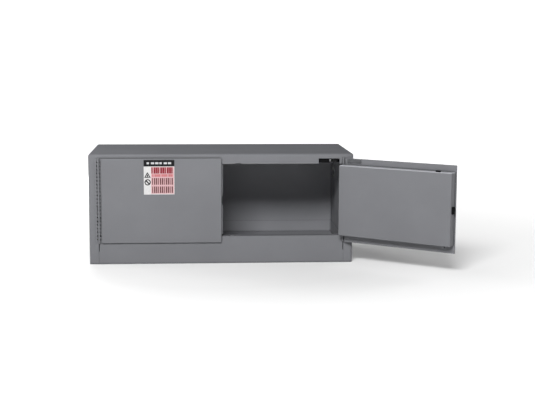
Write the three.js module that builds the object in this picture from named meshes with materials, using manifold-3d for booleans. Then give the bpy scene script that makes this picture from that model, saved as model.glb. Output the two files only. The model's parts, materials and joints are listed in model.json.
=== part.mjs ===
// Low two-door flammable storage cabinet with double walls, a raised leakproof sill and flush
// continuous hinges. Millimetres, +Z up, X across the front, +Y towards the back.
// The origin is the centre of the cabinet's footprint, on the surface it stands on.
// The left door is closed; the right door stands open with its three-point latch extended.
import * as THREE from 'three';
import { mergeVertices } from 'three/addons/utils/BufferGeometryUtils.js';
import Module from 'manifold-3d';

const wasm = await Module();
wasm.setup();

// ---- driving dimensions ----------------------------------------------------------------------
const WIDTH = 1092;
const HEIGHT = 457;
const SHEET = 1.2;             // steel sheet thickness
const GAP = 0.3;               // clearance between pieces that touch
const FRAME_FRONT = -219.5;    // front plane of posts, header and base panel
const BACK = 228.5;
const OPENING_BOTTOM = 114;    // top of the raised sill
const OPENING_TOP = 414.5;     // underside of the header
const CORNER_R = 12;           // vertical front corners
const TOP_EDGE_R = 9;          // bend from the top panel to its front edge
const JAMB_BACK = -182;        // back edge of the returns around the opening
const INNER_BACK = 190;
const SUMP_FLOOR = 62;
const SUMP_DEPTH = 51;

const HINGE_X = 504;           // hinge axes stand at X = +/-HINGE_X
const HINGE_Y = -225.3;
const KNUCKLE_R = 4.5;
const PIN_R = 1.9;
const LEAF_WIDTH = 16;         // frame leaf, from the hinge axis out along the post
const KNUCKLES = 23;
const RELIEF = { width: 3.5, height: 7 };   // slots beside the barrel where two knuckles meet
const DOOR_OPEN = THREE.MathUtils.degToRad(143.5);

const SKIN_FRONT = -228.5;
const SKIN_DEPTH = 8;
const SKIN_HINGE_EDGE = 493.6;
const SKIN_FREE_EDGE = 2;
const SKIN_BOTTOM = 89;
const SKIN_TOP = 439;
const PAN_HINGE_EDGE = 503;
const PAN_FRONT = -220.2;
const PAN_BACK = -182.5;
const PAN_BOTTOM = 121;
const PAN_TOP = 412;
const RIGHT_PAN_FREE_EDGE = 6;
const LEFT_PAN_FREE_EDGE = 8;
const LIP = 15;                // overlap of skin and pan around the window they share
const ASTRAGAL_REACH = 3.6;    // how far the astragal passes the middle of the opening
const LABEL = { x: [-319.5, -194.5], z: [291, 433], thickness: 0.3 };
const BRACKET = {
  plateX: [420, 485], plateZ: [421.5, 434.5], thickness: 1.5,
  lugZ: [424.5, 431.5], foot: [448, 481], crest: [466, 477], height: 9,
};

const VENT_Y = 120;
const VENT_R = 28;             // outside of the tube that passes both walls
const VENT_WALL = 4;
const FLANGE = { overhang: 6, thickness: 3 };
const GASKET = { outer: 27, inner: 21, thickness: 2 };
const CAP = { spigotR: 20.5, spigotReach: 12, head: 5, gripLength: 40, gripWidth: 8, gripHeight: 10.4 };
const LEFT_VENT_Z = 176;
const RIGHT_VENT_Z = 352;
const GROUND = { y: 150, z: 45, studR: 3.9, reach: 16, hex: 13, head: 5, nut: 6 };

const SLOT = { half: 12, back: -186, headerDepth: 4, sillHalf: 9, sillDepth: 3 };   // bullet clearances
const SLIT = { width: 2.5, z: [55, 100] };   // open seam at each end of the base panel
const NOTCH_INNER = 400;       // header notches for the catches
const NOTCH_OUTER = 487;
const NOTCH_TOP = 436.5;
const CATCH_PIVOT = { x: 450, y: -200 };
const CATCH_Z = { bottom: 418.3, top: 435.7, ear: 1.8, plate: 2 };
const CATCH_BLOCK = { x: [402, 444], y: [-210, -186], hangerY: [-188, -185], hangerTop: 455 };
const ROLLER = { x: 474, r: 7, bore: 2.8, axle: 2.5, cheek: 8.5 };

const LATCH_R = 14;            // radius of the hub's drive pins
const LATCH_SWING = THREE.MathUtils.degToRad(40);
const BULLET_X = 68;
const BOLT_Z = 263;
const HUB_X = BULLET_X - LATCH_R;
const HUB_Z = BOLT_Z - LATCH_R;
const BOTTOM_ROD_X = HUB_X - LATCH_R;
const HUB = { r: 19, thickness: 2.5, pinR: 2 };
const SHAFT_R = 6;
const SHAFT_PLAY = 0.5;
const ROD_FRONT = -199.9;      // layer of the two vertical rods
const BOLT_FRONT = -196.8;     // layer of the centre bolt, behind the rods
const ROD_THICKNESS = 2.5;
const ROD_WIDTH = 10;
const PIN_PLAY = 2.5;          // half size of the slot round a drive pin
const TOP_BULLET = { width: 18.6, y: [-202, -187.5], z: [402, 418], ramp: [4.5, 7] };
const BOTTOM_BULLET = { width: 12, z: [112, 127], ramp: [4.5, 5] };
const NOSE = { x: [-1, 14], y: [-214, -192], height: 28 };
const BULLET_PLAY = 0.6;
const ESCUTCHEON = { half: 30, below: 100, above: 45, thickness: 3, corner: 12 };
const LEVER = { stand: 20, bossR: 16, half: 10, length: 112, thickness: 11, corner: 9 };
const KEY = { r: 5.5, bore: 5.8, proud: 1, depth: 10, slotWidth: 1.4, slotHeight: 7, slotDepth: 5 };
const SPRING = { r: 9, wireR: 1, turns: 4 };

// ---- materials -------------------------------------------------------------------------------
const paint = (color, roughness) => () => new THREE.MeshStandardMaterial({ color, roughness, metalness: 0 });
const metal = (color, roughness) => () => new THREE.MeshStandardMaterial({ color, roughness, metalness: 1 });
const greyPaint = paint(0x818286, 0.55);
const innerPaint = paint(0x7b7c80, 0.6);
const zinc = metal(0xa9acae, 0.35);
const stainless = metal(0xc4c6c8, 0.25);
const blackPlastic = paint(0x202022, 0.5);
const blackMetal = paint(0x2a2a2c, 0.42);
const rubber = paint(0x161617, 0.85);
const brass = metal(0xb49a5a, 0.35);
const vinyl = paint(0xe9e4e5, 0.4);

// ---- shape helpers ---------------------------------------------------------------------------
function block(x0, x1, y0, y1, z0, z1) {
  const geometry = new THREE.BoxGeometry(x1 - x0, y1 - y0, z1 - z0);
  return geometry.translate((x0 + x1) / 2, (y0 + y1) / 2, (z0 + z1) / 2);
}

function extrude(shape, depth, segments = 8) {
  return new THREE.ExtrudeGeometry(shape, { depth, bevelEnabled: false, curveSegments: segments });
}

function outline(points) {
  return new THREE.Shape(points.map(([a, b]) => new THREE.Vector2(a, b)));
}

// An outline in (Y, Z), carried along X.
function prismX(shape, x0, x1, segments) {
  const turn = new THREE.Matrix4().makeBasis(
    new THREE.Vector3(0, 1, 0), new THREE.Vector3(0, 0, 1), new THREE.Vector3(1, 0, 0));
  return extrude(shape, x1 - x0, segments).applyMatrix4(turn).translate(x0, 0, 0);
}

// An outline in (X, Z), carried along Y.
function prismY(shape, y0, y1, segments) {
  return extrude(shape, y1 - y0, segments).rotateX(Math.PI / 2).translate(0, y1, 0);
}

// An outline in (X, Y), carried along Z.
function prismZ(shape, z0, z1, segments) {
  return extrude(shape, z1 - z0, segments).translate(0, 0, z0);
}

function circle(a, b, r) {
  return new THREE.Shape().absarc(a, b, r, 0, 2 * Math.PI, false);
}

function ring(a, b, r, hole) {
  const shape = circle(a, b, r);
  shape.holes.push(circle(a, b, hole));
  return shape;
}

function roundedRectangle(a0, a1, b0, b1, r) {
  return new THREE.Shape()
    .moveTo(a0 + r, b0).lineTo(a1 - r, b0).absarc(a1 - r, b0 + r, r, -Math.PI / 2, 0, false)
    .lineTo(a1, b1 - r).absarc(a1 - r, b1 - r, r, 0, Math.PI / 2, false)
    .lineTo(a0 + r, b1).absarc(a0 + r, b1 - r, r, Math.PI / 2, Math.PI, false)
    .lineTo(a0, b0 + r).absarc(a0 + r, b0 + r, r, Math.PI, Math.PI * 1.5, false);
}

function hexagon(a, b, acrossFlats) {
  const r = acrossFlats / Math.sqrt(3);
  return outline(Array.from({ length: 6 }, (_, i) => {
    const angle = (i * Math.PI) / 3;
    return [a + r * Math.cos(angle), b + r * Math.sin(angle)];
  }));
}

// ---- booleans --------------------------------------------------------------------------------
function toSolid(geometry) {
  const bare = geometry.clone();
  bare.deleteAttribute('normal');
  bare.deleteAttribute('uv');
  const merged = mergeVertices(bare, 1e-4);
  return new wasm.Manifold(new wasm.Mesh({
    numProp: 3,
    vertProperties: new Float32Array(merged.attributes.position.array),
    triVerts: new Uint32Array(merged.index.array),
  }));
}

function toGeometry(solid) {
  const mesh = solid.getMesh();
  const geometry = new THREE.BufferGeometry();
  geometry.setAttribute('position', new THREE.BufferAttribute(new Float32Array(mesh.vertProperties), 3));
  geometry.setIndex(new THREE.BufferAttribute(new Uint32Array(mesh.triVerts), 1));
  geometry.computeVertexNormals();
  return geometry;
}

function join(...geometries) {
  return toGeometry(geometries.map(toSolid).reduce((sum, next) => sum.add(next)));
}

function cut(geometry, ...tools) {
  return toGeometry(tools.map(toSolid).reduce((rest, tool) => rest.subtract(tool), toSolid(geometry)));
}

function common(a, b) {
  return toGeometry(toSolid(a).intersect(toSolid(b)));
}

// The same piece for the other hand, reflected in the plane X = 0.
function mirrored(geometry) {
  const copy = geometry.clone().scale(-1, 1, 1);
  if (!copy.index) copy.setIndex([...Array(copy.attributes.position.count).keys()]);
  const index = copy.index.array;
  for (let i = 0; i < index.length; i += 3) [index[i], index[i + 1]] = [index[i + 1], index[i]];
  return copy;
}

function forSide(side, geometry) {
  return side === 'left' ? mirrored(geometry) : geometry;
}

// ---- assembly --------------------------------------------------------------------------------
const cabinet = new THREE.Group();
cabinet.name = 'flammable_storage_cabinet';

// The right door's pieces are drawn with the door closed and turned about its hinge axis.
const rightDoorTurn = new THREE.Group();
rightDoorTurn.position.set(HINGE_X, HINGE_Y, 0);
rightDoorTurn.rotation.z = DOOR_OPEN;
const rightDoor = new THREE.Group();
rightDoor.position.set(-HINGE_X, -HINGE_Y, 0);
rightDoorTurn.add(rightDoor);
cabinet.add(rightDoorTurn);

function add(group, name, geometry, material) {
  const mesh = new THREE.Mesh(geometry, material());
  mesh.name = name;
  group.add(mesh);
}

// ---- cabinet shell ---------------------------------------------------------------------------
// Rounded block of the cabinet's outside, drawn in by `inset` on every face.
function cabinetBlock(inset, back, bottom) {
  const side = WIDTH / 2 - inset;
  const front = FRAME_FRONT + inset;
  const corner = CORNER_R - inset;
  const edge = TOP_EDGE_R - inset;
  const top = HEIGHT - inset;
  const plan = new THREE.Shape()
    .moveTo(side, back).lineTo(-side, back)
    .lineTo(-side, front + corner)
    .absarc(-side + corner, front + corner, corner, Math.PI, Math.PI * 1.5, false)
    .lineTo(side - corner, front)
    .absarc(side - corner, front + corner, corner, Math.PI * 1.5, Math.PI * 2, false);
  const section = new THREE.Shape()
    .moveTo(front, bottom).lineTo(back, bottom).lineTo(back, top).lineTo(front + edge, top)
    .absarc(front + edge, top - edge, edge, Math.PI / 2, Math.PI, false);
  return common(prismZ(plan, bottom, top), prismX(section, -side - 1, side + 1));
}

function shellPieces() {
  const opening = block(-HINGE_X - 3, HINGE_X + 3, FRAME_FRONT - 5, JAMB_BACK, -1, OPENING_TOP);
  const sheet = cut(cabinetBlock(0, BACK, 0), cabinetBlock(SHEET, BACK + 1, -1), opening);
  const postX = HINGE_X + 3;
  const far = WIDTH;
  const seam = HEIGHT - TOP_EDGE_R - 2;
  const jamb = block(postX, postX + SHEET, FRAME_FRONT + SHEET / 2, JAMB_BACK, 0, OPENING_TOP);
  const post = common(join(sheet, jamb), block(postX, far, -far, far, -1, far));
  const behindLeaf = reliefs(HINGE_X + KNUCKLE_R + 0.5, FRAME_FRONT - 1, FRAME_FRONT + SHEET + 1);
  const rightSide = cut(post, ...behindLeaf);
  const topSheet = common(sheet, block(-postX + GAP, postX - GAP, -far, far, seam, far));
  return { side: rightSide, top: topSheet, seam };
}

function headerChannel(seam) {
  const end = HINGE_X + 3 - GAP;
  const section = outline([
    [FRAME_FRONT, OPENING_TOP], [JAMB_BACK, OPENING_TOP], [JAMB_BACK, OPENING_TOP + SHEET],
    [FRAME_FRONT + SHEET, OPENING_TOP + SHEET], [FRAME_FRONT + SHEET, seam - GAP], [FRAME_FRONT, seam - GAP],
  ]);
  const notch = block(NOTCH_INNER, NOTCH_OUTER, FRAME_FRONT - 5, JAMB_BACK + 5, OPENING_TOP - 5, NOTCH_TOP);
  const bulletSlot = block(BULLET_X - SLOT.half, BULLET_X + SLOT.half, FRAME_FRONT - 5, SLOT.back,
    OPENING_TOP - 5, OPENING_TOP + SLOT.headerDepth);
  return cut(prismX(section, -end, end), notch, mirrored(notch), bulletSlot);
}

function baseFrontPanel() {
  const end = HINGE_X + 3 - GAP;
  const top = OPENING_BOTTOM;
  const section = outline([
    [FRAME_FRONT, 0], [FRAME_FRONT + SHEET, 0], [FRAME_FRONT + SHEET, top - SHEET],
    [JAMB_BACK, top - SHEET], [JAMB_BACK, top], [FRAME_FRONT, top],
  ]);
  const bulletSlot = block(BOTTOM_ROD_X - SLOT.sillHalf, BOTTOM_ROD_X + SLOT.sillHalf, FRAME_FRONT - 5,
    SLOT.back, top - SLOT.sillDepth, top + 5);
  const slit = block(end - SLIT.width, end + 1, FRAME_FRONT - 5, FRAME_FRONT + 5, ...SLIT.z);
  return cut(prismX(section, -end, end), bulletSlot, slit, mirrored(slit));
}

function sumpTray() {
  const side = HINGE_X + 3 - GAP;
  const front = JAMB_BACK + GAP;
  const back = INNER_BACK - GAP;
  const top = SUMP_FLOOR + SUMP_DEPTH;
  const inside = block(-side + SHEET, side - SHEET, front + SHEET, back - SHEET, SUMP_FLOOR + SHEET, top + 1);
  return cut(block(-side, side, front, back, SUMP_FLOOR, top), inside);
}

// The bottom fills the footprint inside the outer sheets and steps in behind the two posts.
function bottomOutline() {
  const side = WIDTH / 2 - SHEET - GAP;
  const front = FRAME_FRONT + SHEET + GAP;
  const step = JAMB_BACK + GAP;
  const back = BACK - SHEET - GAP;
  const half = [[HINGE_X, front], [HINGE_X, step], [side, step], [side, back]];
  return outline([...half, ...half.reverse().map(([x, y]) => [-x, y])]);
}

function drill(geometry, z, radius) {
  return cut(geometry, prismX(circle(VENT_Y, z, radius), HINGE_X, WIDTH / 2 + 5, 12));
}

function addShell() {
  const { side, top, seam } = shellPieces();
  const wallHole = VENT_R + GAP;
  const groundHole = prismX(circle(GROUND.y, GROUND.z, GROUND.studR + 0.4), HINGE_X, WIDTH / 2 + 5, 6);
  const innerX = HINGE_X + 3;
  const insideTop = OPENING_TOP + SHEET;
  const innerSide = block(innerX, innerX + SHEET, JAMB_BACK + GAP, INNER_BACK - GAP, SUMP_FLOOR, OPENING_TOP);
  add(cabinet, 'outer_top', top, greyPaint);
  add(cabinet, 'door_header', headerChannel(seam), greyPaint);
  add(cabinet, 'outer_side_right', drill(side, RIGHT_VENT_Z, wallHole), greyPaint);
  add(cabinet, 'outer_side_left',
    mirrored(cut(drill(side, LEFT_VENT_Z, wallHole), groundHole)), greyPaint);
  add(cabinet, 'outer_back',
    block(-WIDTH / 2 + SHEET + GAP, WIDTH / 2 - SHEET - GAP, BACK - SHEET, BACK, SHEET + GAP,
      HEIGHT - SHEET - GAP), greyPaint);
  add(cabinet, 'outer_bottom', prismZ(bottomOutline(), 0, SHEET), greyPaint);
  add(cabinet, 'base_front_panel', baseFrontPanel(), greyPaint);
  add(cabinet, 'inner_ceiling',
    block(-innerX + GAP, innerX - GAP, JAMB_BACK + GAP, INNER_BACK + SHEET, OPENING_TOP, insideTop),
    innerPaint);
  add(cabinet, 'inner_side_right', drill(innerSide, RIGHT_VENT_Z, wallHole), innerPaint);
  add(cabinet, 'inner_side_left', mirrored(drill(innerSide, LEFT_VENT_Z, wallHole)), innerPaint);
  add(cabinet, 'inner_back',
    block(-innerX, innerX, INNER_BACK, INNER_BACK + SHEET, SUMP_FLOOR, OPENING_TOP - GAP), innerPaint);
  add(cabinet, 'sump_tray', sumpTray(), innerPaint);
}

// ---- vents and grounding ---------------------------------------------------------------------
// Each vent is drawn on the right-hand wall and reflected where it belongs on the left.
function addVent(side, z) {
  const outer = WIDTH / 2 + GAP;
  const inner = HINGE_X + 3;
  const bore = VENT_R - VENT_WALL;
  const face = outer + FLANGE.thickness;
  const gasketBack = face + GAP;
  const headBack = gasketBack + GASKET.thickness + GAP;
  const headFront = headBack + CAP.head;
  const tube = prismX(ring(VENT_Y, z, VENT_R, bore), inner - 2, outer, 16);
  const flange = prismX(ring(VENT_Y, z, VENT_R + FLANGE.overhang, bore), outer, face, 16);
  const screen = prismX(circle(VENT_Y, z, bore - GAP), inner + 2, inner + 4, 16);
  const gasket = prismX(
    ring(VENT_Y, z, GASKET.outer, GASKET.inner), gasketBack, gasketBack + GASKET.thickness, 16);
  const halfLength = CAP.gripLength / 2;
  const halfWidth = CAP.gripWidth / 2;
  const grip = roundedRectangle(
    VENT_Y - halfLength, VENT_Y + halfLength, z - halfWidth, z + halfWidth, halfWidth);
  const cap = join(
    prismX(circle(VENT_Y, z, CAP.spigotR), face - CAP.spigotReach, headBack + 1, 16),
    prismX(circle(VENT_Y, z, VENT_R), headBack, headFront, 16),
    prismX(grip, headFront - 1, headFront + CAP.gripHeight, 5));
  add(cabinet, `vent_bushing_${side}`, forSide(side, join(tube, flange)), zinc);
  add(cabinet, `flame_arrester_${side}`, forSide(side, screen), stainless);
  add(cabinet, `vent_gasket_${side}`, forSide(side, gasket), rubber);
  add(cabinet, `vent_cap_${side}`, forSide(side, cap), blackPlastic);
}

function addGrounding() {
  const { y, z, studR, reach, hex, head, nut } = GROUND;
  const outer = -WIDTH / 2;
  const inside = outer + SHEET + GAP;
  const stud = join(
    prismX(circle(y, z, studR), outer - reach, inside + 1, 8),
    prismX(hexagon(y, z, hex), inside, inside + head));
  const nutShape = hexagon(y, z, hex);
  nutShape.holes.push(circle(y, z, studR + 0.1));
  add(cabinet, 'ground_stud', stud, brass);
  add(cabinet, 'ground_nut', prismX(nutShape, outer - GAP - nut, outer - GAP, 8), brass);
}

// ---- continuous hinges -----------------------------------------------------------------------
function stationZ(i) {
  return SKIN_BOTTOM + (i * (SKIN_TOP - SKIN_BOTTOM)) / KNUCKLES;
}

// A leaf's knuckles stand at every second station; each is tied to its plate by a finger.
function knuckles(first, fingerX0, fingerX1, fingerY0, fingerY1) {
  const shoulder = RELIEF.height / 2;
  const pieces = [];
  for (let i = first; i < KNUCKLES; i += 2) {
    const z0 = stationZ(i);
    const z1 = stationZ(i + 1);
    pieces.push(prismZ(ring(HINGE_X, HINGE_Y, KNUCKLE_R, PIN_R + GAP), z0 + GAP, z1 - GAP, 6));
    pieces.push(block(fingerX0, fingerX1, fingerY0, fingerY1, z0 + shoulder, z1 - shoulder));
  }
  return pieces;
}

// Tools that cut a column of relief slots, one where each pair of knuckles meets.
function reliefs(x0, y0, y1) {
  const half = RELIEF.height / 2;
  return Array.from({ length: KNUCKLES - 1 }, (_, i) => {
    const z = stationZ(i + 1);
    return block(x0, x0 + RELIEF.width, y0, y1, z - half, z + half);
  });
}

// The frame leaf lies flat on the post, behind the axis and outside it.
function frameLeaf() {
  const back = FRAME_FRONT - GAP;
  const clear = HINGE_X + KNUCKLE_R + 0.5;
  const plate = block(clear, HINGE_X + LEAF_WIDTH, back - SHEET, back, SKIN_BOTTOM, SKIN_TOP);
  const slotted = cut(plate, ...reliefs(clear - 0.1, back - SHEET - 1, back + 1));
  return join(slotted, ...knuckles(0, HINGE_X, clear + 1, back - 2.8, back));
}

// The door leaf is fixed to the door's hinge-side edge; its web reaches out to the knuckles.
function doorLeaf() {
  const edge = SKIN_HINGE_EDGE + GAP;
  const clear = HINGE_X - KNUCKLE_R - 0.5;
  const half = SHEET / 2;
  const plate = block(
    edge, edge + SHEET, SKIN_FRONT + GAP, SKIN_FRONT + SKIN_DEPTH - GAP, SKIN_BOTTOM, SKIN_TOP);
  const web = block(edge + half, clear, HINGE_Y - half, HINGE_Y + half, SKIN_BOTTOM, SKIN_TOP);
  const slotted = cut(web, ...reliefs(clear - RELIEF.width + 0.1, HINGE_Y - 2, HINGE_Y + 2));
  return join(plate, slotted, ...knuckles(1, clear - 1, HINGE_X - 3, HINGE_Y - half, HINGE_Y + half));
}

function addHinge(side, doorGroup) {
  const pin = prismZ(circle(HINGE_X, HINGE_Y, PIN_R), SKIN_BOTTOM - 1, SKIN_TOP + 1, 6);
  add(cabinet, `hinge_frame_leaf_${side}`, forSide(side, frameLeaf()), greyPaint);
  add(cabinet, `hinge_pin_${side}`, forSide(side, pin), zinc);
  add(doorGroup, `hinge_door_leaf_${side}`, forSide(side, doorLeaf()), greyPaint);
}

// ---- doors -----------------------------------------------------------------------------------
function panWindow(freeEdge, y0, y1) {
  return block(freeEdge + LIP, PAN_HINGE_EDGE - LIP - 10, y0, y1, PAN_BOTTOM + LIP, PAN_TOP - LIP);
}

// Folded outer skin: front sheet, rim and back lip, open behind where the inner pan is welded on.
function doorSkin(panFreeEdge) {
  const back = SKIN_FRONT + SKIN_DEPTH;
  const body = block(SKIN_FREE_EDGE, SKIN_HINGE_EDGE, SKIN_FRONT, back, SKIN_BOTTOM, SKIN_TOP);
  const hollow = block(SKIN_FREE_EDGE + SHEET, SKIN_HINGE_EDGE - SHEET, SKIN_FRONT + SHEET, back - SHEET,
    SKIN_BOTTOM + SHEET, SKIN_TOP - SHEET);
  return cut(body, hollow, panWindow(panFreeEdge, back - SHEET - 1, back + 1));
}

// Inner pan: the box on the inside of the door that fills the opening.
function doorPan(freeEdge) {
  const body = block(freeEdge, PAN_HINGE_EDGE, PAN_FRONT, PAN_BACK, PAN_BOTTOM, PAN_TOP);
  const hollow = block(freeEdge + SHEET, PAN_HINGE_EDGE - SHEET, PAN_FRONT + SHEET, PAN_BACK - SHEET,
    PAN_BOTTOM + SHEET, PAN_TOP - SHEET);
  return cut(body, hollow, panWindow(freeEdge, PAN_FRONT - 1, PAN_FRONT + SHEET + 1));
}

// Plate with a ramped lug on the door's top edge; it enters the header notch and meets the roller.
function catchBracket() {
  const { plateX, plateZ, thickness, lugZ, foot, crest, height } = BRACKET;
  const plate = block(...plateX, PAN_FRONT, PAN_FRONT + thickness, ...plateZ);
  const root = PAN_FRONT + thickness / 2;
  const tip = PAN_FRONT + height;
  const lug = outline([[foot[0], root], [foot[1], root], [crest[1], tip], [crest[0], tip]]);
  return join(plate, prismZ(lug, ...lugZ));
}

function astragal() {
  const side = -LEFT_PAN_FREE_EDGE + GAP;
  const back = -192;
  const angle = outline([
    [side, PAN_FRONT], [ASTRAGAL_REACH, PAN_FRONT], [ASTRAGAL_REACH, PAN_FRONT + SHEET],
    [side + SHEET, PAN_FRONT + SHEET], [side + SHEET, back], [side, back],
  ]);
  const half = NOSE.height / 2 + 4;
  const boltNotch = block(
    -SKIN_FREE_EDGE - 0.4, 10, PAN_FRONT - 2, PAN_FRONT + 4, BOLT_Z - half, BOLT_Z + half);
  return cut(prismZ(angle, PAN_BOTTOM + 3, PAN_TOP), boltNotch);
}

function addLeftDoor() {
  add(cabinet, 'left_door_skin', mirrored(doorSkin(LEFT_PAN_FREE_EDGE)), greyPaint);
  add(cabinet, 'left_door_pan', mirrored(doorPan(LEFT_PAN_FREE_EDGE)), greyPaint);
  add(cabinet, 'left_catch_bracket', mirrored(catchBracket()), zinc);
  add(cabinet, 'astragal', astragal(), greyPaint);
  const face = SKIN_FRONT - GAP;
  add(cabinet, 'hazard_label', block(...LABEL.x, face - LABEL.thickness, face, ...LABEL.z), vinyl);
}

// Hole for a bullet in the top or bottom of the pan.
function bulletHole(x, width, z) {
  const half = width / 2 + BULLET_PLAY;
  const [front, back] = TOP_BULLET.y;
  return block(x - half, x + half, front - BULLET_PLAY, back + BULLET_PLAY, z - 5, z + 5);
}

function addRightDoor() {
  const shaftHole = prismY(circle(HUB_X, HUB_Z, SHAFT_R + SHAFT_PLAY), SKIN_FRONT - 5, SKIN_FRONT + 5, 8);
  const half = NOSE.height / 2 + BULLET_PLAY;
  const noseHole = block(
    0, 15, NOSE.y[0] - BULLET_PLAY, NOSE.y[1] + BULLET_PLAY, BOLT_Z - half, BOLT_Z + half);
  const pan = cut(doorPan(RIGHT_PAN_FREE_EDGE), noseHole,
    bulletHole(BULLET_X, TOP_BULLET.width, PAN_TOP),
    bulletHole(BOTTOM_ROD_X, BOTTOM_BULLET.width, PAN_BOTTOM));
  add(rightDoor, 'right_door_skin', cut(doorSkin(RIGHT_PAN_FREE_EDGE), shaftHole), greyPaint);
  add(rightDoor, 'right_door_pan', pan, greyPaint);
  add(rightDoor, 'right_catch_bracket', catchBracket(), zinc);
}

// ---- three-point latch -----------------------------------------------------------------------
class Helix extends THREE.Curve {
  constructor(x, z, radius, y0, y1, turns) {
    super();
    Object.assign(this, { x, z, radius, y0, y1, turns });
  }

  getPoint(t, target = new THREE.Vector3()) {
    const angle = t * this.turns * 2 * Math.PI;
    return target.set(this.x + this.radius * Math.cos(angle), this.y0 + t * (this.y1 - this.y0),
      this.z + this.radius * Math.sin(angle));
  }
}

function drivePin(degrees, reach) {
  const angle = THREE.MathUtils.degToRad(degrees);
  const x = HUB_X + LATCH_R * Math.cos(angle);
  const z = HUB_Z + LATCH_R * Math.sin(angle);
  return prismY(circle(x, z, HUB.pinR), ROD_FRONT - 2, reach, 6);
}

// Flat bar with a cross slot for its drive pin.
function slottedBar(bar, slot, front) {
  return cut(block(...bar.x, front, front + ROD_THICKNESS, ...bar.z),
    block(...slot.x, front - 1, front + ROD_THICKNESS + 1, ...slot.z));
}

function addHandle() {
  const front = SKIN_FRONT - GAP;
  const plateFront = front - ESCUTCHEON.thickness;
  const { half, below, above, corner } = ESCUTCHEON;
  const plate = roundedRectangle(HUB_X - half, HUB_X + half, HUB_Z - below, HUB_Z + above, corner);
  plate.holes.push(circle(HUB_X, HUB_Z, SHAFT_R + SHAFT_PLAY));
  add(rightDoor, 'handle_escutcheon', prismY(plate, plateFront, front, 6), blackPlastic);

  const top = front - LEVER.stand;
  const grip = roundedRectangle(
    HUB_X - LEVER.half, HUB_X + LEVER.half, HUB_Z - LEVER.length, HUB_Z, LEVER.corner);
  const lever = join(
    prismY(circle(HUB_X, HUB_Z, LEVER.bossR), top, plateFront - GAP, 12),
    prismY(grip, top, top + LEVER.thickness, 5),
    prismY(circle(HUB_X, HUB_Z, SHAFT_R), plateFront - 3, ROD_FRONT - 0.7, 8));
  const bore = prismY(circle(HUB_X, HUB_Z, KEY.bore), top - 10, top + KEY.depth, 8);
  add(rightDoor, 'handle_lever', cut(lever, bore), blackMetal);

  const plugFront = top - KEY.proud;
  const plug = prismY(circle(HUB_X, HUB_Z, KEY.r), plugFront, top + KEY.depth - GAP, 8);
  const slotX = KEY.slotWidth / 2;
  const slotZ = KEY.slotHeight / 2;
  const keyway = block(
    HUB_X - slotX, HUB_X + slotX, plugFront - 1, plugFront + KEY.slotDepth, HUB_Z - slotZ, HUB_Z + slotZ);
  add(rightDoor, 'key_plug', cut(plug, keyway), brass);

  const coil = new Helix(HUB_X, HUB_Z, SPRING.r, SKIN_FRONT + SHEET + 2, ROD_FRONT - 5.5, SPRING.turns);
  const wire = { steps: 11 * SPRING.turns, curveSegments: 3, extrudePath: coil };
  add(rightDoor, 'handle_spring', new THREE.ExtrudeGeometry(circle(0, 0, SPRING.wireR), wire), stainless);
}

function addLatch() {
  const hubBack = ROD_FRONT - 2 * GAP;
  const disc = prismY(ring(HUB_X, HUB_Z, HUB.r, SHAFT_R + GAP), hubBack - HUB.thickness, hubBack, 10);
  const pastRod = ROD_FRONT + ROD_THICKNESS + GAP;
  const pastBolt = BOLT_FRONT + ROD_THICKNESS + GAP;
  const halfSwing = THREE.MathUtils.radToDeg(LATCH_SWING / 2);
  add(rightDoor, 'latch_hub', join(disc, drivePin(halfSwing, pastRod), drivePin(halfSwing + 180, pastRod),
    drivePin(halfSwing + 90, pastBolt)), zinc);

  const lift = LATCH_R * Math.sin(LATCH_SWING / 2);
  const reach = LATCH_R * Math.cos(LATCH_SWING / 2);
  const half = ROD_WIDTH / 2;
  const topPinZ = HUB_Z + lift;
  const bottomPinZ = HUB_Z - lift;
  const boltPinX = HUB_X - lift;
  add(rightDoor, 'top_rod', slottedBar(
    { x: [BULLET_X - half, BULLET_X + half], z: [topPinZ - 8, TOP_BULLET.z[0] - GAP] },
    { x: [HUB_X + reach - PIN_PLAY, BULLET_X + PIN_PLAY], z: [topPinZ - PIN_PLAY, topPinZ + PIN_PLAY] },
    ROD_FRONT), zinc);
  add(rightDoor, 'bottom_rod', slottedBar(
    { x: [BOTTOM_ROD_X - half, BOTTOM_ROD_X + half], z: [BOTTOM_BULLET.z[1] + GAP, bottomPinZ + 8] },
    {
      x: [BOTTOM_ROD_X - PIN_PLAY, HUB_X - reach + PIN_PLAY],
      z: [bottomPinZ - PIN_PLAY, bottomPinZ + PIN_PLAY],
    },
    ROD_FRONT), zinc);
  add(rightDoor, 'centre_bolt', slottedBar(
    { x: [NOSE.x[1] + GAP, boltPinX + 7], z: [BOLT_Z - half, BOLT_Z + half] },
    { x: [boltPinX - PIN_PLAY, boltPinX + PIN_PLAY], z: [HUB_Z + reach - PIN_PLAY, BOLT_Z + PIN_PLAY] },
    BOLT_FRONT), zinc);
}

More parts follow.
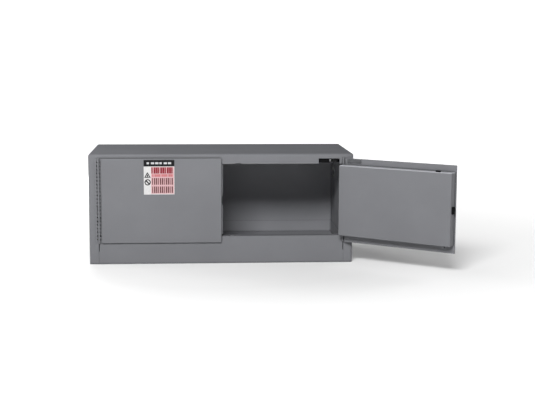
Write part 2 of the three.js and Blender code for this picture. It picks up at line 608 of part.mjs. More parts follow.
// The two bullets are ramped on the side that meets the frame as the door shuts.
function addBullets() {
  const [front, back] = TOP_BULLET.y;
  const [topBase, topTip] = TOP_BULLET.z;
  const [topRampY, topRampZ] = TOP_BULLET.ramp;
  const top = outline([
    [front, topBase], [back, topBase], [back, topTip - topRampZ], [back - topRampY, topTip], [front, topTip],
  ]);
  const [bottomTip, bottomBase] = BOTTOM_BULLET.z;
  const [bottomRampY, bottomRampZ] = BOTTOM_BULLET.ramp;
  const bottom = outline([
    [front, bottomBase], [front, bottomTip], [back - bottomRampY, bottomTip],
    [back, bottomTip + bottomRampZ], [back, bottomBase],
  ]);
  const [tip, base] = NOSE.x;
  const [noseFront, noseBack] = NOSE.y;
  const nose = outline([
    [base, noseFront], [tip + 3, noseFront], [tip, noseFront + 3], [tip, noseFront + 11],
    [tip + 4.5, noseBack], [base, noseBack],
  ]);
  const topHalf = TOP_BULLET.width / 2;
  const bottomHalf = BOTTOM_BULLET.width / 2;
  const noseHalf = NOSE.height / 2;
  add(rightDoor, 'top_bullet', prismX(top, BULLET_X - topHalf, BULLET_X + topHalf), blackPlastic);
  add(rightDoor, 'bottom_bullet',
    prismX(bottom, BOTTOM_ROD_X - bottomHalf, BOTTOM_ROD_X + bottomHalf), blackPlastic);
  add(rightDoor, 'centre_nose', prismZ(nose, BOLT_Z - noseHalf, BOLT_Z + noseHalf), blackPlastic);
}

// Block on the back of the pan with a window that its bar slides through.
function addGuide(name, x, z, windowX, windowZ, barFront) {
  const window = block(
    ...windowX, barFront - BULLET_PLAY, barFront + ROD_THICKNESS + BULLET_PLAY, ...windowZ);
  const body = block(...x, barFront - 4, PAN_BACK - SHEET - GAP, ...z);
  add(rightDoor, name, cut(body, window), blackPlastic);
}

function addGuides() {
  const half = ROD_WIDTH;
  const window = ROD_WIDTH / 2 + BULLET_PLAY;
  for (const [name, x, z] of [['top_rod_guide', BULLET_X, 354], ['bottom_rod_guide', BOTTOM_ROD_X, 154]]) {
    addGuide(name, [x - half, x + half], [z - 4, z + 4],
      [x - window, x + window], [z - 15, z + 15], ROD_FRONT);
  }
  addGuide('centre_bolt_guide', [25, 33], [BOLT_Z - half, BOLT_Z + half],
    [15, 43], [BOLT_Z - window, BOLT_Z + window], BOLT_FRONT);
}

// ---- spring catches --------------------------------------------------------------------------
// Housing behind the header notch, with two ears that hold the arm's pin.
function catchHousing(hole) {
  const { x, y } = CATCH_PIVOT;
  const { bottom, top, ear } = CATCH_Z;
  const ears = [bottom, top - ear].map((z) => block(CATCH_BLOCK.x[1] - 1, x + 4, y - 4, y + 4, z, z + ear));
  const body = block(...CATCH_BLOCK.x, ...CATCH_BLOCK.y, bottom, top);
  const hanger = block(...CATCH_BLOCK.x, ...CATCH_BLOCK.hangerY, top - 1, CATCH_BLOCK.hangerTop);
  return cut(join(body, hanger, ...ears), hole);
}

// Two cheek plates, the web between them and the roller's axle.
function catchArm(hole) {
  const { x, y } = CATCH_PIVOT;
  const { bottom, top, ear, plate } = CATCH_Z;
  const lower = bottom + ear + GAP;
  const upper = top - ear - GAP - plate;
  const inside = [lower + plate - 0.4, upper + 0.4];
  const plates = [lower, upper].map((z) => join(
    prismZ(circle(x, y, 4), z, z + plate, 6), block(x, ROLLER.x, y - 4, y + 4, z, z + plate),
    prismZ(circle(ROLLER.x, y, ROLLER.cheek), z, z + plate, 8)));
  const web = block(x + 8, ROLLER.x - ROLLER.r - 2, y + 2, y + 4, ...inside);
  const axle = prismZ(circle(ROLLER.x, y, ROLLER.axle), ...inside, 6);
  return cut(join(...plates, web, axle), hole);
}

function addCatch(side) {
  const { x, y } = CATCH_PIVOT;
  const { bottom, top, ear, plate } = CATCH_Z;
  const hole = prismZ(circle(x, y, ROLLER.bore), bottom - 18, HEIGHT, 6);
  const cheek = ear + plate + 2 * GAP;
  const roller = prismZ(ring(ROLLER.x, y, ROLLER.r, ROLLER.bore), bottom + cheek, top - cheek, 10);
  const pin = prismZ(circle(x, y, ROLLER.axle), bottom - 0.5, top + 0.5, 6);
  add(cabinet, `catch_housing_${side}`, forSide(side, catchHousing(hole)), blackPlastic);
  add(cabinet, `catch_arm_${side}`, forSide(side, catchArm(hole)), blackMetal);
  add(cabinet, `catch_roller_${side}`, forSide(side, roller), rubber);
  add(cabinet, `catch_pin_${side}`, forSide(side, pin), stainless);
}

// ---- build -----------------------------------------------------------------------------------
addShell();
addVent('left', LEFT_VENT_Z);
addVent('right', RIGHT_VENT_Z);
addGrounding();
addHinge('left', cabinet);
addHinge('right', rightDoor);
addLeftDoor();
addRightDoor();
addHandle();
addLatch();
addBullets();
addGuides();
addCatch('left');
addCatch('right');

export default cabinet;
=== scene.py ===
"""Looks of a low two-door flammable storage cabinet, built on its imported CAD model.

Metres, +Z up, +X to the right across the front, +Y towards the back. The CAD nodes whose shape is
right keep their place and get finer edges and materials; the sheet-metal pieces are formed again here
with real bends, and stand for their CAD nodes.
"""
import json
import math
import bmesh
import bpy
from mathutils import Matrix, Vector


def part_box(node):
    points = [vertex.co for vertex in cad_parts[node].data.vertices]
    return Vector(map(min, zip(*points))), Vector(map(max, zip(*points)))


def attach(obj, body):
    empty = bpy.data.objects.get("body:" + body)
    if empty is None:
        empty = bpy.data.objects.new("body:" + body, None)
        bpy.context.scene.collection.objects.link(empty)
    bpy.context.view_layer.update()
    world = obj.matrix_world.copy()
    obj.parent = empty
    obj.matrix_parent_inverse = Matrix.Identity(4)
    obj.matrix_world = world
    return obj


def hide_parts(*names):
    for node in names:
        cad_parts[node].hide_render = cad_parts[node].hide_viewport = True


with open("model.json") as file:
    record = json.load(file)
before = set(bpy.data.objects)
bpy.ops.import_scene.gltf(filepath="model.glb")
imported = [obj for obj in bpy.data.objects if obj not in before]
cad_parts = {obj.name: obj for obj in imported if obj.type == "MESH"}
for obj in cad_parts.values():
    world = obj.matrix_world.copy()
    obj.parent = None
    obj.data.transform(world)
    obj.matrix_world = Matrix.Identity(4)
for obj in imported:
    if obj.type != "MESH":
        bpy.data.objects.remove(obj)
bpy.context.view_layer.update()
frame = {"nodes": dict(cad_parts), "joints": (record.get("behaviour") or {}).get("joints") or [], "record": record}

SHEET = 0.0012                  # thickness of the steel sheet
BEND = 0.0016                   # outside radius of the sharp folds
PAN_BEND = 0.003                # outside radius of the inner pans' folds

# Outer shell
CORNER_R = 0.012                # vertical front corners
TOP_EDGE_R = 0.009              # rolled edge round the top
NOTCHES = [(-0.487, -0.4), (0.4, 0.487)]    # hardware notches in the header, in X
NOTCH_TOP = 0.4365
BULLET_SLOT = (0.056, 0.08)     # clearance for the top bullet in the header, in X
BULLET_SLOT_TOP = 0.4185

# Hinge side of the doors
KNUCKLES = 23
RELIEF_X = (0.509, 0.5125)      # slots in the posts where two knuckles meet
RELIEF_HALF = 0.0035

# Doors, closed
WINDOW_LIP = 0.015              # overlap of a door's skin and pan round the window they share
HINGE_LIP_EXTRA = 0.01          # how much wider that overlap is along the hinge
RIGHT_FREE_X = 0.006            # free edge of the right door
SHAFT_PLACE = (0.054, 0.249)    # lever's shaft through the right skin, X and Z
SHAFT_HOLE_HALF = 0.0065
TOP_ROD_X = 0.068
TOP_ROD_HOLE_HALF = 0.0099
BOTTOM_ROD_X = 0.04
BOTTOM_ROD_HOLE_HALF = 0.0066
ROD_HOLES_Y = (-0.2026, -0.1869)
NOSE_Z = 0.263
NOSE_HOLE_HALF = 0.0146
NOSE_HOLE_Y = (-0.2146, -0.1914)

# Flanges that lap over the back panel, and their spot welds
LAP_WIDTH = 0.019
LAP_THICKNESS = 0.0012
LAP_CORNER_R = 0.002
WELDS_ACROSS = 12
WELDS_UPWARDS = 5
WELD_SIDES = 16
WELD_PROFILE = (                # (radius, height above the flange) from the foot to the dished middle
    (0.0044, -0.0002), (0.0044, 0.0001), (0.0037, 0.0004), (0.0026, 0.0004), (0.0018, 0.0001),
)

INK_RAISE = 0.00012             # how far the label's print stands out
INK_SUNK = 0.00002              # how far its bars reach into the film

CAMERA_LENS = 74.26             # mm, on a sensor 36 mm wide
CAMERA_PLACE = (-0.1222, -4.7353, 0.9029)
CAMERA_DOWN = 8.03              # degrees below level
CAMERA_YAW = -3.94
CAMERA_ROLL = 0.224
LIT_POINT = (0.05, -0.2, 0.25)  # where every light is aimed


# ---- camera ----------------------------------------------------------------------------------
def add_camera():
    data = bpy.data.cameras.new("camera")
    data.lens = CAMERA_LENS
    data.sensor_width = 36
    data.dof.use_dof = False
    data.clip_end = 100
    camera = bpy.data.objects.new("camera", data)
    camera.location = CAMERA_PLACE
    yaw = Matrix.Rotation(math.radians(CAMERA_YAW), 3, "Z")
    tilt = Matrix.Rotation(math.radians(90 - CAMERA_DOWN), 3, "X")
    roll = Matrix.Rotation(math.radians(CAMERA_ROLL), 3, "Z")
    camera.rotation_euler = (yaw @ tilt @ roll).to_euler()
    bpy.context.scene.collection.objects.link(camera)
    bpy.context.scene.camera = camera


# ---- materials -------------------------------------------------------------------------------
class Shader:
    """A Principled material with a few shorthand methods for its node tree."""

    def __init__(self, name):
        self.material = bpy.data.materials.new(name)
        self.material.use_nodes = True
        self.nodes = self.material.node_tree.nodes
        self.links = self.material.node_tree.links
        self.principled = self.nodes["Principled BSDF"]
        self.place = self.nodes.new("ShaderNodeTexCoord").outputs["Object"]

    def set(self, **values):
        for name, value in values.items():
            self.principled.inputs[name.replace("_", " ")].default_value = value

    def noise(self, scale, detail=3.0, roughness=0.5, stretch=(1, 1, 1)):
        place = self.place
        if stretch != (1, 1, 1):
            mapping = self.nodes.new("ShaderNodeMapping")
            mapping.inputs["Scale"].default_value = stretch
            self.links.new(place, mapping.inputs["Vector"])
            place = mapping.outputs["Vector"]
        node = self.nodes.new("ShaderNodeTexNoise")
        node.inputs["Scale"].default_value = scale
        node.inputs["Detail"].default_value = detail
        node.inputs["Roughness"].default_value = roughness
        self.links.new(place, node.inputs["Vector"])
        return node.outputs["Fac"]

    def spread(self, value, low, high, to_low=0.0, to_high=1.0):
        node = self.nodes.new("ShaderNodeMapRange")
        limits = {"From Min": low, "From Max": high, "To Min": to_low, "To Max": to_high}
        for name, number in limits.items():
            node.inputs[name].default_value = number
        self.links.new(value, node.inputs["Value"])
        return node.outputs["Result"]

    def mix(self, factor, first, second):
        node = self.nodes.new("ShaderNodeMix")
        node.data_type = "RGBA"
        self.links.new(factor, node.inputs["Factor"])
        for socket, value in ((node.inputs["A"], first), (node.inputs["B"], second)):
            if isinstance(value, tuple):
                socket.default_value = (*value, 1)
            else:
                self.links.new(value, socket)
        return node.outputs["Result"]

    def join(self, operation, first, second):
        node = self.nodes.new("ShaderNodeMath")
        node.operation = operation
        for socket, value in zip(node.inputs, (first, second)):
            if isinstance(value, (int, float)):
                socket.default_value = value
            else:
                self.links.new(value, socket)
        return node.outputs["Value"]

    def bump(self, *layers):
        """Layers are (height, strength, distance), the coarsest first."""
        normal = None
        for height, strength, distance in layers:
            node = self.nodes.new("ShaderNodeBump")
            node.inputs["Strength"].default_value = strength
            node.inputs["Distance"].default_value = distance
            self.links.new(height, node.inputs["Height"])
            if normal:
                self.links.new(normal, node.inputs["Normal"])
            normal = node.outputs["Normal"]
        self.links.new(normal, self.principled.inputs["Normal"])

    def edges(self, radius):
        """1 on worn edges and corners, 0 on flat faces."""
        bevel = self.nodes.new("ShaderNodeBevel")
        bevel.samples = 4
        bevel.inputs["Radius"].default_value = radius
        geometry = self.nodes.new("ShaderNodeNewGeometry")
        dot = self.nodes.new("ShaderNodeVectorMath")
        dot.operation = "DOT_PRODUCT"
        self.links.new(bevel.outputs["Normal"], dot.inputs[0])
        self.links.new(geometry.outputs["Normal"], dot.inputs[1])
        return self.spread(dot.outputs["Value"], 0.995, 0.8)

    def crevice_shade(self, reach):
        """Ambient-occlusion mask for painted shade: 1 deep in seams and corners, 0 on open faces."""
        node = self.nodes.new("ShaderNodeAmbientOcclusion")
        node.samples = 6
        node.inputs["Distance"].default_value = reach
        return self.spread(node.outputs["AO"], 0.88, 0.45)

    def upward(self, most, least=0.0):
        """Goes from `least` to `most` on faces that look up."""
        split = self.nodes.new("ShaderNodeSeparateXYZ")
        self.links.new(self.nodes.new("ShaderNodeNewGeometry").outputs["Normal"], split.inputs[0])
        return self.spread(split.outputs["Z"], 0.15, 0.6, least, most)

    def colour(self, socket):
        self.links.new(socket, self.principled.inputs["Base Color"])

    def roughness(self, socket):
        self.links.new(socket, self.principled.inputs["Roughness"])


def shade(colour, factor):
    return tuple(channel * factor for channel in colour)


def powder_coat(name, colour, rough=0.56, peel=0.35, wear=0.35, top_highlight=0.0):
    """Oven-cured paint: orange peel, faint tone changes, rubbed edges, painted shade in seams and corners, and,
    where asked, a painted highlight on faces that look up.
    """
    s = Shader(name)
    broad = s.spread(s.noise(5.0, 4.0), 0.35, 0.65)
    base = s.mix(broad, shade(colour, 0.965), shade(colour, 1.03))
    grime = s.spread(s.noise(38.0, 6.0, 0.62), 0.56, 0.8, 0.0, 0.2)
    base = s.mix(grime, base, shade(colour, 0.86))
    rubbed = s.join("MULTIPLY", s.edges(0.0012), s.spread(s.noise(90.0, 4.0), 0.38, 0.6, 0.15, wear))
    base = s.mix(rubbed, base, shade(colour, 1.5))
    # Painted shade: seams, corners and recesses are darkened towards 0.42 of the paint's colour.
    base = s.mix(s.crevice_shade(0.01), base, shade(colour, 0.42))
    # Painted highlight: faces that look up are lightened towards 2.9 times the paint's colour, for the light
    # caught along the top folds.
    if top_highlight:
        base = s.mix(s.upward(top_highlight), base, shade(colour, 2.9))
    s.colour(base)
    s.roughness(s.spread(s.noise(22.0, 5.0), 0.3, 0.7, rough - 0.05, rough + 0.07))
    s.links.new(s.upward(0.0, 0.16), s.principled.inputs["Specular IOR Level"])
    wave = s.noise(11.0, 1.0)
    skin = s.noise(620.0, 2.0, 0.45)
    s.bump((wave, 0.04, 0.001), (skin, peel, 0.0001))
    return s.material


def plated(name, colour, rough, brushed=(1, 1, 1)):
    """Zinc or stainless metal with a drawn grain and dull blotches."""
    s = Shader(name)
    blotch = s.spread(s.noise(60.0, 5.0), 0.35, 0.7)
    s.colour(s.mix(blotch, shade(colour, 0.82), colour))
    s.roughness(s.spread(s.noise(140.0, 4.0), 0.3, 0.7, rough - 0.08, rough + 0.12))
    s.set(Metallic=1.0)
    s.bump((s.noise(420.0, 3.0, stretch=brushed), 0.25, 0.0001))
    return s.material


def moulded(name, colour, rough, gloss=0.14, grain=900.0, depth=0.3):
    """Moulded plastic or rubber with a fine spark-eroded grain and greyed edges."""
    s = Shader(name)
    tone = s.spread(s.noise(30.0, 5.0), 0.35, 0.65)
    base = s.mix(tone, shade(colour, 0.85), shade(colour, 1.15))
    s.colour(s.mix(s.spread(s.edges(0.0008), 0, 1, 0, 0.3), base, shade(colour, 2.4)))
    s.roughness(s.spread(s.noise(80.0, 3.0), 0.3, 0.7, rough - 0.06, rough + 0.08))
    s.set(Specular_IOR_Level=gloss)
    s.bump((s.noise(grain, 2.0), depth, 0.00012))
    return s.material


def vinyl(name, colour, rough=0.38):
    """Printed label film: smooth, faintly uneven ink."""
    s = Shader(name)
    ink = s.spread(s.noise(160.0, 4.0), 0.35, 0.65)
    s.colour(s.mix(ink, shade(colour, 0.94), shade(colour, 1.04)))
    s.roughness(s.spread(s.noise(45.0), 0.3, 0.7, rough - 0.06, rough + 0.06))
    s.set(Specular_IOR_Level=0.12)
    s.bump((s.noise(250.0), 0.08, 0.00005))
    return s.material


def mesh_screen(name, colour):
    """Fine woven wire screen."""
    s = Shader(name)
    wires = []
    for axis in ("Y", "Z"):
        wave = s.nodes.new("ShaderNodeTexWave")
        wave.bands_direction = axis
        wave.inputs["Scale"].default_value = 220
        s.links.new(s.place, wave.inputs["Vector"])
        wires.append(wave.outputs["Fac"])
    weave = s.join("MAXIMUM", *wires)
    s.colour(s.mix(s.spread(weave, 0.45, 0.8), shade(colour, 0.08), colour))
    s.set(Metallic=0.85, Roughness=0.38)
    s.bump((weave, 0.8, 0.0004))
    return s.material


GREY = (0.13, 0.132, 0.141)
MATERIALS = {
    "grey_powder_coat": powder_coat("grey_powder_coat", GREY),
    # The inside's paint is the outer grey made 1.32 times lighter: painted light that brightens the inside, which
    # is really the same paint.
    "inner_powder_coat": powder_coat("inner_powder_coat", shade(GREY, 1.32), rough=0.58),
    # The pans' upward faces carry a painted highlight.
    "pan_powder_coat": powder_coat("pan_powder_coat", GREY, top_highlight=0.9),
    "zinc": plated("zinc", (0.42, 0.425, 0.43), 0.36, (1, 1, 0.06)),
    "stainless": plated("stainless", (0.66, 0.67, 0.68), 0.25, (0.06, 1, 1)),
    "black_plastic": moulded("black_plastic", (0.015, 0.015, 0.017), 0.42, gloss=0.35),
    "black_steel": powder_coat("black_steel", (0.022, 0.022, 0.024), rough=0.38, peel=0.25, wear=0.6),
    "rubber": moulded("rubber", (0.014, 0.014, 0.015), 0.72, grain=500.0, depth=0.5),
    "brass": plated("brass", (0.62, 0.45, 0.2), 0.28),
    "label_vinyl": vinyl("label_vinyl", (0.47, 0.465, 0.465)),
}
MATT_BLACK = moulded("matt_black", (0.0045, 0.0045, 0.005), 0.7, gloss=0.05)
INKS = {
    "black": vinyl("ink_black", (0.006, 0.006, 0.007)),
    "red": vinyl("ink_red", (0.18, 0.018, 0.027)),
    "pink": vinyl("ink_pink", (0.38, 0.13, 0.14)),
    "white": vinyl("ink_white", (0.42, 0.42, 0.43)),
    "blush": vinyl("ink_blush", (0.45, 0.29, 0.3)),
    "maroon": vinyl("ink_maroon", (0.09, 0.028, 0.03)),
}
BLACKENED = plated("blackened_zinc", (0.13, 0.133, 0.14), 0.4)
SCREEN = mesh_screen("wire_screen", (0.5, 0.5, 0.52))


# ---- modifiers -------------------------------------------------------------------------------
def smooth_group():
    """Geometry nodes: every face smooth, every edge above 35 degrees sharp."""
    group = bpy.data.node_groups.new("smooth_by_angle", "GeometryNodeTree")
    group.interface.new_socket("Geometry", in_out="INPUT", socket_type="NodeSocketGeometry")
    group.interface.new_socket("Geometry", in_out="OUTPUT", socket_type="NodeSocketGeometry")
    start = group.nodes.new("NodeGroupInput")
    end = group.nodes.new("NodeGroupOutput")
    faces = group.nodes.new("GeometryNodeSetShadeSmooth")
    faces.domain = "FACE"
    angle = group.nodes.new("GeometryNodeInputMeshEdgeAngle")
    shallow = group.nodes.new("FunctionNodeCompare")
    shallow.operation = "LESS_THAN"
    shallow.inputs["B"].default_value = math.radians(35)
    edges = group.nodes.new("GeometryNodeSetShadeSmooth")
    edges.domain = "EDGE"
    group.links.new(start.outputs[0], faces.inputs["Geometry"])
    group.links.new(faces.outputs[0], edges.inputs["Geometry"])
    group.links.new(angle.outputs["Unsigned Angle"], shallow.inputs["A"])
    group.links.new(shallow.outputs["Result"], edges.inputs["Shade Smooth"])
    group.links.new(edges.outputs[0], end.inputs[0])
    return group


SMOOTH = smooth_group()


def soften(obj, width, segments=2, flat_faces=True):
    """Merges loose corners, clears flat faces of diagonals, rounds edges and evens the shading."""
    weld = obj.modifiers.new("weld", "WELD")
    weld.merge_threshold = 1e-5
    if flat_faces:
        flat = obj.modifiers.new("flat", "DECIMATE")
        flat.decimate_type = "DISSOLVE"
        flat.angle_limit = math.radians(0.5)
    if width:
        bevel = obj.modifiers.new("bevel", "BEVEL")
        bevel.width = width
        bevel.segments = segments
        bevel.limit_method = "ANGLE"
        bevel.angle_limit = math.radians(35)
        bevel.miter_outer = "MITER_ARC"
        bevel.use_clamp_overlap = True
    smooth = obj.modifiers.new("smooth", "NODES")
    smooth.node_group = SMOOTH
    obj.modifiers.new("normals", "WEIGHTED_NORMAL").keep_sharp = True


# ---- mesh helpers ----------------------------------------------------------------------------
class Sheet:
    """Collects faces by their corner points; corners that coincide are shared."""

    def __init__(self):
        self.mesh = bmesh.new()
        self.corners = {}

    def corner(self, point):
        key = tuple(round(value, 6) for value in point)
        if key not in self.corners:
            self.corners[key] = self.mesh.verts.new(point)
        return self.corners[key]

    def face(self, points, material=0):
        verts = [self.corner(point) for point in points]
        if len(set(verts)) == len(verts):
            self.mesh.faces.new(verts).material_index = material

    def slab(self, lo, hi, material=0):
        """A closed box."""
        (x0, y0, z0), (x1, y1, z1) = lo, hi
        a, b, c, d = (x0, y0, z0), (x1, y0, z0), (x1, y1, z0), (x0, y1, z0)
        e, f, g, h = (x0, y0, z1), (x1, y0, z1), (x1, y1, z1), (x0, y1, z1)
        sides = ((a, b, f, e), (b, c, g, f), (c, d, h, g), (d, a, e, h))
        for points in (*sides, (e, f, g, h), (d, c, b, a)):
            self.face(points, material)

    def finish(self, name, materials, body, turn=None):
        data = bpy.data.meshes.new(name)
        if turn:
            self.mesh.transform(turn)
        self.mesh.to_mesh(data)
        self.mesh.free()
        for material in materials:
            data.materials.append(material)
        obj = bpy.data.objects.new(name, data)
        bpy.context.scene.collection.objects.link(obj)
        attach(obj, body)
        return obj


def fold(sheet, radius, chosen):
    """Rounds the chosen edges of an open sheet as bends, after its flat cells are merged."""
    bmesh.ops.dissolve_limit(sheet.mesh, angle_limit=math.radians(1), verts=sheet.mesh.verts[:],
                             edges=sheet.mesh.edges[:])
    edges = [e for e in sheet.mesh.edges if len(e.link_faces) == 2 and chosen(e)]
    bmesh.ops.bevel(sheet.mesh, geom=edges, offset=radius, segments=4, profile=0.5, affect="EDGES",
                    offset_type="OFFSET", clamp_overlap=True)


def square(edge):
    return edge.calc_face_angle(0) > math.radians(60)


def thicken(obj):
    """Gives a formed sheet its thickness, inwards, and breaks its cut edges."""
    solid = obj.modifiers.new("thickness", "SOLIDIFY")
    solid.thickness = SHEET
    solid.offset = -1
    solid.use_even_offset = True
    soften(obj, 0.00025, 1, flat_faces=False)


def arc(centre, radius, start, end, steps):
    """Points and outward normals along an arc, ends included."""
    made = []
    for i in range(steps + 1):
        angle = math.radians(start + (end - start) * i / steps)
        normal = Vector((math.cos(angle), math.sin(angle)))
        made.append((Vector(centre) + normal * radius, normal))
    return made


# ---- outer shell -----------------------------------------------------------------------------
def shell_outline(half, front, back, breaks):
    """Plan of the cabinet's outside from the back left corner round the front to the back right."""
    points = [(Vector((-half, back)), Vector((-1, 0)))]
    points += arc((-half + CORNER_R, front + CORNER_R), CORNER_R, 180, 270, 10)
    points += [(Vector((x, front)), Vector((0, -1))) for x in breaks]
    points += arc((half - CORNER_R, front + CORNER_R), CORNER_R, 270, 360, 10)
    points.append((Vector((half, back)), Vector((1, 0))))
    return points


def shell_levels(opening_top, top, joints_z):
    """(height, inset) of the shell's level lines, from the floor over the rolled top edge."""
    roll = [(top - TOP_EDGE_R + TOP_EDGE_R * math.sin(a), TOP_EDGE_R * (1 - math.cos(a)))
            for a in (math.radians(15 * i) for i in range(1, 7))]
    flat = {0.0, opening_top, BULLET_SLOT_TOP, NOTCH_TOP, top - TOP_EDGE_R}
    flat.update(z + offset for z in joints_z for offset in (-RELIEF_HALF, RELIEF_HALF))
    return [(z, 0.0) for z in sorted(flat)] + roll


def cut_from_front(x, z, post, opening_top, joints_z):
    """True in the doorway, the hardware notches, the bullet's slot and the slots beside the hinges."""
    in_doorway = abs(x) < post and z < opening_top
    in_notch = any(lo < x < hi for lo, hi in NOTCHES) and z < NOTCH_TOP
    in_slot = BULLET_SLOT[0] < x < BULLET_SLOT[1] and z < BULLET_SLOT_TOP
    beside_hinge = RELIEF_X[0] < abs(x) < RELIEF_X[1]
    in_relief = beside_hinge and any(abs(z - at) < RELIEF_HALF for at in joints_z)
    return in_doorway or in_notch or in_slot or in_relief


def add_outer_shell():
    """Top, sides, posts and header as one welded and ground sheet, with the doorway and notches cut."""
    side_lo, side_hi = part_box("outer_side_right")
    header_lo, header_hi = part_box("door_header")
    post, half = side_lo.x, side_hi.x
    front, back, top = side_lo.y, side_hi.y, side_hi.z
    opening_top, jamb = header_lo.z, header_hi.y
    gaps = [*NOTCHES, BULLET_SLOT]
    breaks = [-post, post] + [x for gap in gaps for x in gap] + [s * x for s in (-1, 1) for x in RELIEF_X]
    breaks.sort()
    skin_lo, skin_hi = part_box("left_door_skin")
    joints_z = [skin_lo.z + i * (skin_hi.z - skin_lo.z) / KNUCKLES for i in range(1, KNUCKLES)]
    outline = shell_outline(half, front, back, breaks)
    levels = shell_levels(opening_top, top, joints_z)

    sheet = Sheet()
    rows = [[(*(p - n * inset), z) for p, n in outline] for z, inset in levels]
    for j in range(len(levels) - 1):
        z = (levels[j][0] + levels[j + 1][0]) / 2
        for i in range(len(outline) - 1):
            x = (outline[i][0].x + outline[i + 1][0].x) / 2
            on_front = outline[i][1].y < -0.999 and outline[i + 1][1].y < -0.999
            if not (on_front and cut_from_front(x, z, post, opening_top, joints_z)):
                sheet.face((rows[j][i], rows[j][i + 1], rows[j + 1][i + 1], rows[j + 1][i]))
    sheet.face(rows[-1])
    below = [z for z, _ in levels if z <= opening_top]
    for x, flip in ((-post, 1), (post, -1)):
        for z0, z1 in zip(below, below[1:]):
            strip = [(x, front, z0), (x, jamb, z0), (x, jamb, z1), (x, front, z1)]
            sheet.face(strip[::flip])
    for x0, x1 in zip(breaks, breaks[1:]):
        if abs(x0 + x1) < 2 * post and not any(lo <= x0 < hi for lo, hi in gaps):
            sheet.face([(x0, front, opening_top), (x0, jamb, opening_top),
                        (x1, jamb, opening_top), (x1, front, opening_top)])
    fold(sheet, BEND, square)
    shell = sheet.finish("outer_shell", [MATERIALS["grey_powder_coat"]], "cabinet")
    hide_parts("outer_top", "outer_side_left", "outer_side_right", "door_header")
    thicken(shell)


# ---- back flanges ----------------------------------------------------------------------------
def flange_loop(lo, hi, inset, radius):
    """Outline of the back in X and Z, anticlockwise, with the top corners rounded."""
    left, right, low, high = lo.x + inset, hi.x - inset, lo.z + inset, hi.z - inset
    corners = arc((right - radius, high - radius), radius, 0, 90, 5)
    corners += arc((left + radius, high - radius), radius, 90, 180, 5)
    return [(left, low), (right, low)] + [tuple(point) for point, _ in corners]


def add_back_flanges():
    """Flanges of the sides, top and bottom that lap over the back panel."""
    lo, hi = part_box("outer_back")
    sheet = Sheet()
    loops = [[(x, y, z) for x, z in flange_loop(lo, hi, inset, radius)]
             for inset, radius in ((0, TOP_EDGE_R), (LAP_WIDTH, LAP_CORNER_R))
             for y in (hi.y, hi.y + LAP_THICKNESS)]
    outer_in, outer_out, inner_in, inner_out = loops
    for first, second in ((outer_in, outer_out), (outer_out, inner_out), (inner_out, inner_in),
                          (inner_in, outer_in)):
        for i in range(len(first)):
            sheet.face((first[i - 1], first[i], second[i], second[i - 1]))
    bmesh.ops.recalc_face_normals(sheet.mesh, faces=sheet.mesh.faces[:])
    laps = sheet.finish("back_flanges", [MATERIALS["grey_powder_coat"]], "cabinet")
    soften(laps, 0.0003)


def weld_centres(lo, hi):
    """(x, z) of the spot welds, spaced evenly along the middle of the flanges."""
    left, right = lo.x + LAP_WIDTH / 2, hi.x - LAP_WIDTH / 2
    low, high = lo.z + LAP_WIDTH / 2, hi.z - LAP_WIDTH / 2
    across = [left + (right - left) * i / WELDS_ACROSS for i in range(1, WELDS_ACROSS)]
    upwards = [low + (high - low) * i / WELDS_UPWARDS for i in range(1, WELDS_UPWARDS)]
    return [(x, z) for x in across for z in (low, high)] + [(x, z) for x in (left, right) for z in upwards]


def add_back_welds():
    """Small dished discs of spot welds, along the lapped flanges."""
    lo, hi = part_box("outer_back")
    face_y = hi.y + LAP_THICKNESS
    angles = [math.radians(360 * i / WELD_SIDES) for i in range(WELD_SIDES)]
    sheet = Sheet()
    for x, z in weld_centres(lo, hi):
        rings = [[(x + radius * math.cos(a), face_y + out, z + radius * math.sin(a)) for a in angles]
                 for radius, out in WELD_PROFILE]
        for first, second in zip(rings, rings[1:]):
            for i in range(WELD_SIDES):
                sheet.face((first[i - 1], second[i - 1], second[i], first[i]))
        sheet.face(rings[0])
        sheet.face(rings[-1][::-1])
    bmesh.ops.recalc_face_normals(sheet.mesh, faces=sheet.mesh.faces[:])
    welds = sheet.finish("back_welds", [MATERIALS["grey_powder_coat"]], "cabinet")
    soften(welds, 0, flat_faces=False)


# ---- formed boxes for the doors --------------------------------------------------------------
def formed_box(name, lo, hi, window, holes, bend, turn, body, replaced):
    """A folded box of sheet from corner lo to corner hi. The window and the holes are
    (side, range along the side's first axis, range along its second), cut from that side."""
    sheet = Sheet()
    cuts = [window, *holes]
    spans = {"x": {lo[0], hi[0]}, "y": {lo[1], hi[1]}, "z": {lo[2], hi[2]}}
    across = {"front": "xz", "back": "xz", "left": "yz", "right": "yz", "top": "xy", "bottom": "xy"}
    for side, first, second in cuts:
        spans[across[side][0]].update(first)
        spans[across[side][1]].update(second)
    spans = {axis: sorted(values) for axis, values in spans.items()}
    planes = {"front": ("y", lo[1], 1), "back": ("y", hi[1], -1), "left": ("x", lo[0], -1),
              "right": ("x", hi[0], 1), "top": ("z", hi[2], 1), "bottom": ("z", lo[2], -1)}
    for side, (axis, level, turning) in planes.items():
        first, second = across[side]
        for a0, a1 in zip(spans[first], spans[first][1:]):
            for b0, b1 in zip(spans[second], spans[second][1:]):
                a, b = (a0 + a1) / 2, (b0 + b1) / 2
                if any(s == side and f[0] < a < f[1] and g[0] < b < g[1] for s, f, g in cuts):
                    continue
                corners = []
                for u, v in ((a0, b0), (a1, b0), (a1, b1), (a0, b1)):
                    place = {first: u, second: v, axis: level}
                    corners.append((place["x"], place["y"], place["z"]))
                sheet.face(corners[::turning])
    fold(sheet, bend, square)
    paint = MATERIALS["pan_powder_coat" if "pan" in name else "grey_powder_coat"]
    piece = sheet.finish(name, [paint], body, turn)
    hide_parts(replaced)
    thicken(piece)
    return piece


